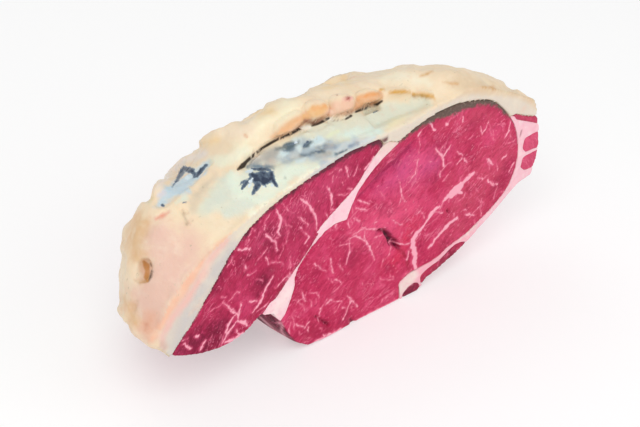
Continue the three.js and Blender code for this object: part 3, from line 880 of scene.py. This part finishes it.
# Dark cracks and folds in the cut face: depth, soft edge, and the way they run with its half width
scars = [
    (4.2, 1.4, [(60, 67, 0.1), (66, 64, 0.5), (70, 58, 1.0), (73, 52, 2.0), (76, 50, 1.7), (80, 44, 0.2)]),
    (1.6, 3.5, [(43, 98, 0.3), (60, 107, 1), (75, 113, 1), (92, 122, 0.2)]),
    (1.8, 1.4, [(5, 22, 0.2), (10, 16, 0.5), (16, 10, 0.2)]),
    (2.0, 0.9, [(126, 56, 0.2), (128, 53, 0.5)]),
    (1.2, 2, [(37, 4, 0.8), (39, 0, 1.2)]),
]
leanZones = {
    "cap_muscle": ("b0244e", [
        smudge("7c1036", 10, 6, [(-100, 48, 8), (-72, 48, 8)], [(-40, 70, 5)]),
        smudge("bd3a62", 12, 6, [(-40, 100, 6), (-10, 112, 6), (30, 122, 6)], [(0, 95, 5)]),
        smudge("a01a40", 4, 2, [(-20, 63, 2), (-45, 50, 3), (-60, 39, 2)]),
    ]),
    "main_muscle": ("bf2a55", [
        smudge("c3405e", 24, 10, [(150, 60, 22), (175, 80, 14), (140, 40, 10)],
            [(120, 128, 4), (165, 118, 6)]),
        smudge("cc4a7c", 14, 6, [(66, 100, 6), (84, 104, 12), (110, 100, 8)]),
        # painted light: brighter pink where the cut face bulges
        smudge("e04f78", 18, 8, [(40, 74, 6), (62, 72, 13), (88, 72, 10)]),
        smudge("d02c52", 12, 6, [(78, 38, 8), (90, 56, 6)]),
        smudge("a51a42", 10, 5, [(-4, 14, 5), (14, 8, 5)], [(-12, 46, 4)]),
        # painted shadow along the fold
        smudge("8c1a4a", 4, 2, [(44, 99, 0.5), (60, 107, 2.2), (75, 113, 2.2), (92, 122, 0.6)],
            strength=0.75),
        smudge("9a1232", 2, 1, [(79, 46, 1.6), (88, 33, 1.2), (90, 22, 0.6)]),
        # painted shade in the cracks: a wider darkening along the biggest, and their dark depths
        smudge("6a2440", 2, 0.8,
            [(55, 69.5, 0.2), (66, 64.5, 1), (70, 59, 1.6), (73, 53, 2.4), (76, 50, 2.4), (81, 43, 0.4)]),
        smudge("35101f", 0.9, 0.5,
            [(60, 67, 0.1), (66, 64, 0.5), (70, 58, 1.1), (73, 52, 2.1), (76, 50, 1.8), (80, 44, 0.2)],
            [(126, 56, 0.1), (128, 53, 0.5)], [(37, 4, 0.7), (39, 0, 1.4)],
            [(5, 22, 0.1), (16, 10, 0.2)]),
    ]),
    "sliver_muscle": ("b02a4e", [
        smudge("6e1230", 4, 2, [(101, 4, 1), (122, 10, 1), (140, 14, 2), (150, 20, 2)]),
    ]),
    "lean_tag": ("7a1838", [
        smudge("d98a9a", 1.6, 2.5, [(84, 6, 0.4), (92, 8, 0.5), (99, 12, 0.4)]),
    ]),
    "end_lean_upper": ("cc4468", []),
    "end_lean_lower": ("cc4468", []),
    "end_lean_strip": ("bb3a58", []),
}
# Darker edge of the lean under the fat: its colours, then across and width along it
leanEdges = {
    "cap_muscle": ("5a2836", "84485a", [
        (-112, -0.4), (-90, 0.2), (-60, 0.8), (-50, 1.2), (-25, 1.4), (8, 1.8), (30, 2.4), (50, 2.4),
        (58, 3.6), (67, 5),
    ]),
    "main_muscle": ("575046", "9c917f", [
        (60, -2), (72, 0.6), (85, 1.6), (96, 2.6), (110, 4.5), (124, 7.2), (134, 6.4), (144, 4.6),
        (152, 4), (165, 3.4), (176, 2.6), (187, 1.2), (191, -2),
    ]),
}
# colours of the lean's sides; the notch's is painted shade
sideTone = {"membrane": "cf98a0", "bare": "8e1f40", "notchShade": "4e0c26", "pale": "dca0ac"}
notchShade = [(-46, 48, 3), (-36, 36, 6), (-27, 26, 5), (-14, 8, 2)]   # painted shade in the notch at the foot of the seam
paleRim = [
    [(260, 317, 0.3), (269, 325, 0.5), (278, 333, 0.6), (290, 342, 0.8), (299, 347, 0.6)],
    [(278, 323, 0.6), (283, 323, 0.8), (281, 331, 0.6), (287, 339, 0.7)],
]


def scatteredVeins(seed):
    kind = fineVeins
    dice = random.Random(seed)
    result = []
    for _ in range(kind["count"]):
        across, up = dice.uniform(*kind["across"]), dice.uniform(*kind["up"])
        heading = dice.uniform(*kind["heading"]) + (math.pi / 2 if dice.random() < kind["crossing"] else 0)
        width = dice.uniform(*kind["width"]) / 2
        row = [(across, up, width)]
        for _ in range(dice.randint(1, kind["steps"])):
            heading += dice.uniform(-kind["bend"], kind["bend"])
            stride = dice.uniform(*kind["stride"])
            across, up = across + math.cos(heading) * stride, up + math.sin(heading) * stride
            row.append((across, up, width * dice.uniform(*kind["thinning"])))
        result.append(row)
    return result


def tapered(vein):  # full width in the middle, thin at both ends
    width, way = vein[0] / 2, vein[1:]
    last = len(way) - 1
    return [(*spot, width * veinShape["tip" if i in (0, last) and last > 1 else "full"])
            for i, spot in enumerate(way)]


def marblingField(flat, onNear):
    lumpy = np.insert(flat, 1, 0, 1)
    bends = [grain(lumpy, veinShape["bendSize"], seed) for seed in veinShape["bendSeeds"]]
    bent = flat + veinShape["bendReach"] * np.stack(bends, 1)
    fine = strokeField(bent, scatteredVeins(fineVeins["seed"] if onNear else fineVeins["seed"] + 1))
    coarse = [tapered(vein) for vein in veins]
    if not onNear:
        coarse = [[(a + farShift[0], u + farShift[1], w) for a, u, w in reversed(row)] for row in coarse[::2]]
    return np.minimum(strokeField(bent, coarse), fine)


leanShape = {
    "relaxRounds": 26, "cutReach": 0.6, "flatReach": 0.5, "leastSide": 0.3, "sideOn": 0.9,
    "gapFill": 0.2, "bulge": 2.2, "bulgeFade": (2, 8), "liesOn": 1, "veinRise": 0.2, "veinSoft": 0.8,
    "seed": 31, "skinSize": 16, "skinSeed": 41, "skinOctaves": 3, "skinFade": (-0.25, 0.35),
    "notchShadeSoft": 4, "paleFade": (1.2, -0.4),
}
# Where the lean closes in on the seam at the cut, and the seam's fat lies a little deeper: how far
# in millimetres, and along which way
necks = {
    "cap_muscle": (2.3, [(5, 83), (-14, 66.5), (-27, 56)]),
    "main_muscle": (1.8, [(0, 74.5), (-10, 63)]),
    "seam_fat": (0.6, [(3, 80), (-9, 66), (-27, 55)]),
}
neckReach, neckDepth = (9, 4), (16, 6)   # beside the way and behind the cut, from none to all of it


def closingIn(points, node):
    if node not in necks:
        return 0
    push, way = necks[node]
    beside = near(strokeField(points[:, (0, 2)], [[(*spot, 0) for spot in way]]), *neckReach)
    return push * beside * near(points[:, 1], *neckDepth)


def splitCut(piece):  # finer faces on the two cuts, which carry the marbling
    bm = bmesh.new()
    bm.from_mesh(piece.data)
    lowest = corner.y + leanShape["flatReach"] * mm
    highest = corner.y + (depth - leanShape["flatReach"]) * mm
    flat = [face for face in bm.faces if all(v.co.y < lowest for v in face.verts)
            or all(v.co.y > highest for v in face.verts)]
    edges = sorted({edge for face in flat for edge in face.edges}, key=lambda edge: edge.index)
    bmesh.ops.subdivide_edges(bm, edges=edges, cuts=1, use_grid_fill=True)
    bm.to_mesh(piece.data)
    bm.free()


def sideColours(points, shaped):  # membrane over bare lean, behind the cut, with painted shade in the notch
    shape = leanShape
    keys = "bare", "membrane", "notchShade", "pale"
    bare, membrane, shadeTone, pale = (np.array(tone(sideTone[key])) for key in keys)
    skin = ease(grain(points, shape["skinSize"], shape["skinSeed"], shape["skinOctaves"]), *shape["skinFade"])
    side = bare + (membrane - bare) * skin[:, None]
    # painted shade in the notch
    inNotchShade = near(strokeField(points[:, (0, 2)], [notchShade]), shape["notchShadeSoft"])
    side += (shadeTone - side) * inNotchShade[:, None]
    onRim = near(strokeField(pixelsOf(shaped), paleRim), *shape["paleFade"])
    return side + (pale - side) * onRim[:, None]


def makeLean(node, name, material, cell, fats):
    shape = leanShape
    piece = mergedCopy(node, name)
    evenSkin(piece, cell, True)
    relax(piece, shape["relaxRounds"])
    settle(piece)
    splitCut(piece)
    mesh = piece.data
    points, normals = readPoints(mesh), readNormals(mesh)
    cut = onCut(points, shape["cutReach"])
    flat = points[:, (0, 2)]
    marbling = np.full(len(points), farAway)
    for side, onNear in ((1, True), (-1, False)):
        marbling[cut == side] = marblingField(flat[cut == side], onNear)
    toCover = distanceTo(points, fats[0])
    toFat = np.minimum(toCover, distanceTo(points, fats[1]))
    sideways = normals * np.array([1, 0, 1])
    sideways /= np.maximum(np.linalg.norm(sideways, axis=1), shape["leastSide"])[:, None]
    swollen = shape["bulge"] * np.sin(np.pi * np.clip(points[:, 1] / depth, 0, 1))
    swollen = swollen * ease(toFat, *shape["bulgeFade"]) + shape["gapFill"]
    swollen = swollen * (points[:, 2] > shape["liesOn"]) + closingIn(points, node)
    rim = np.abs(normals[:, 1]) < shape["sideOn"]
    shaped = points + sideways * (swollen * rim)[:, None]
    relief = cutRelief(points)
    for deep, soft, *strokes in scars:
        relief += deep * near(strokeField(flat, strokes), soft)
    relief -= shape["veinRise"] * near(marbling, shape["veinSoft"])
    shaped[:, 1] += relief * nearCut(points)
    shaped[:, 2] = np.maximum(shaped[:, 2], 0)
    writePoints(mesh, shaped)
    base, zones = leanZones[node]
    colours = paint(flat, base, zones, shape["seed"], 1, points)
    colours[cut == 0] = sideColours(points, shaped)[cut == 0]
    storeTint(mesh, colours)
    store(mesh, "marbling", marbling)
    edgeDark, edgePale, widths = leanEdges.get(node, ("000000", "000000", [(0, -farAway)]))
    store(mesh, "edging", toCover - np.interp(points[:, 0], *zip(*widths)))
    storeTint(mesh, np.tile(tone(edgeDark), (len(points), 1)), "edgeDark")
    storeTint(mesh, np.tile(tone(edgePale), (len(points), 1)), "edgePale")
    finishPiece(piece, material, node)


# Node, piece, material, slot and mesh size of each layer of lean
leanPieces = [
    ("cap_muscle", "capMuscle", "capLean", "cap_lean", 1.35),
    ("main_muscle", "mainMuscle", "mainLean", "main_lean", 1.56),
    ("sliver_muscle", "sliverMuscle", "darkLean", "dark_lean", 1.2),
    ("lean_tag", "leanTag", "darkLean", "dark_lean", 1.0),
    ("end_lean_upper", "endLeanUpper", "endLean", "end_lean", 1.0),
    ("end_lean_lower", "endLeanLower", "endLean", "end_lean", 1.0),
    ("end_lean_strip", "endLeanStrip", "endLean", "end_lean", 1.0),
]


# The seam's fat and the fat of the flap end: piece, mesh size, colour and zones
fatBands = {
    "seam_fat": ("seamFat", 1.0, "f6c9d2", [
        smudge("f6d8d8", 5, 0, [(-20, 52, 6), (-30, 42, 6)]),
        smudge("e3cbbc", 10, 0, [(56, 132, 6), (70, 134, 9), (88, 134, 9)]),
        smudge("6b3f42", 1.2, 0.6, [(59, 132.6, 1.8), (66, 133.8, 1.6)]),
    ]),
    "lower_fat": ("lowerFat", 1.1, "f0adba", [
        smudge("ead4cd", 3, 0, [(82, 8, 5), (94, 14, 5)]),
        smudge("ecc8c6", 4, 0, [(142, 27, 3), (157, 31, 3)]),
    ]),
    "end_fat": ("endFat", 1.0, "f1bcc6", [
        smudge("8a2440", 0.8, 0, [(198, 93, 0.6), (197, 89, 0.4)]),
    ]),
}
bandShape = {"swell": 0.7, "relaxRounds": 6, "cutReach": 1.0, "cutStand": 0.1, "seed": 51}
bandLook = {
    "pinker": "eb9fb2", "pinkerNoise": (240, 4), "pinkerFade": (0.48, 0.7, 0, 0.4),
    "paler": "f8e2e0", "palerNoise": (130, 3), "palerFade": (0.5, 0.7, 0, 0.4),
    "glossScale": 150, "roughness": (0.35, 0.5), "bump": 0.3, "bumpDepth": 0.0006, "bumpNoise": (500, 3),
    "shader": {"Subsurface Weight": 0.15, "Subsurface Radius": (1.0, 0.45, 0.35), "Subsurface Scale": 0.002,
               "Coat Weight": 0.12},
}


def bandMaterial():
    look = bandLook
    material, tree, shader = newMaterial("seamFat", look["shader"])
    where = objectSpots(tree)
    colour = attributeOf(tree, "tint", "Color")
    for key in ("pinker", "paler"):
        colour = laid(tree, noiseOf(tree, where, *look[key + "Noise"]), look[key + "Fade"], colour, look[key])
    wetFinish(tree, shader, where, colour, noiseOf(tree, where, *look["bumpNoise"]), look)
    return material


def makeBand(node, material):
    name, cell, base, zones = fatBands[node]
    piece = mergedCopy(node, name)
    swell(piece, bandShape["swell"])
    evenSkin(piece, cell)
    relax(piece, bandShape["relaxRounds"])
    settle(piece)
    mesh = piece.data
    points = readPoints(mesh)
    cut = onCut(points, bandShape["cutReach"])
    points[cut > 0, 1] = -bandShape["cutStand"]
    points[cut < 0, 1] = depth + bandShape["cutStand"]
    shaped = points.copy()
    shaped[:, 1] += cutRelief(points) * nearCut(points) + closingIn(points, node) * (cut > 0)
    shaped[:, 2] = np.maximum(shaped[:, 2], 0)
    writePoints(mesh, shaped)
    storeTint(mesh, paint(points[:, (0, 2)], base, zones, bandShape["seed"], 1, points))
    finishPiece(piece, material, node)


def makeCamera():
    data = bpy.data.cameras.new("camera")
    data.lens = viewing["lens"]
    data.sensor_width = viewing["sensor"]
    data.clip_start = viewing["clipStart"]
    camera = bpy.data.objects.new("camera", data)
    bpy.context.scene.collection.objects.link(camera)
    camera.matrix_world = Matrix.Translation(eye) @ Matrix((right, above, away)).transposed().to_4x4()
    bpy.context.scene.camera = camera


# The stage: metres and watts
lights = {
    "key": {"at": (-0.9, -0.9, 1.5), "size": 1.3, "power": 15},
    "fill": {"at": (0.9, -1.3, 0.8), "size": 1.4, "power": 6},
    "back": {"at": (0.2, 1.3, 1.3), "size": 1.2, "power": 3},
}
lightsAim = (0, 0, 0.06)
room = {"floorSize": 6, "worldLight": 0.6, "floor": {
    "Base Color": (0.6, 0.6, 0.6, 1), "Emission Color": (1, 1, 1, 1), "Emission Strength": 0.4,
    "Roughness": 0.9}}


def makeFloor():
    bm = bmesh.new()
    bmesh.ops.create_grid(bm, x_segments=4, y_segments=4, size=room["floorSize"])
    mesh = bpy.data.meshes.new("floor")
    bm.to_mesh(mesh)
    bm.free()
    floor = bpy.data.objects.new("floor", mesh)
    bpy.context.scene.collection.objects.link(floor)
    mesh.materials.append(newMaterial("paleFloor", room["floor"])[0])


def makeLights():
    world = bpy.data.worlds.new("softRoom")
    world.use_nodes = True
    background = world.node_tree.nodes["Background"]
    background.inputs["Color"].default_value = (1, 1, 1, 1)
    background.inputs["Strength"].default_value = room["worldLight"]
    bpy.context.scene.world = world
    for name, light in lights.items():
        data = bpy.data.lights.new(name, "AREA")
        data.size = light["size"]
        data.energy = light["power"]
        lamp = bpy.data.objects.new(name, data)
        bpy.context.scene.collection.objects.link(lamp)
        lamp.location = light["at"]
        aim = Vector(lightsAim) - lamp.location
        lamp.rotation_euler = aim.to_track_quat("-Z", "Y").to_euler()
    bpy.context.scene.view_settings.view_transform = "Standard"


makeCamera()
makeFloor()
makeLights()
print("stage is set")
fats = surfaceOf(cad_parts["fat_cover"]), surfaceOf(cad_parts["seam_fat"])
makeCover()
print("fat cover is done")
leanMaterials = {name: leanMaterial(name) for name in leanTones}
for node, name, look, slot, cell in leanPieces:
    makeLean(node, name, leanMaterials[look], cell, fats)
print("lean is done")
bandFat = bandMaterial()
for node in fatBands:
    makeBand(node, bandFat)
print("bands of fat are done")
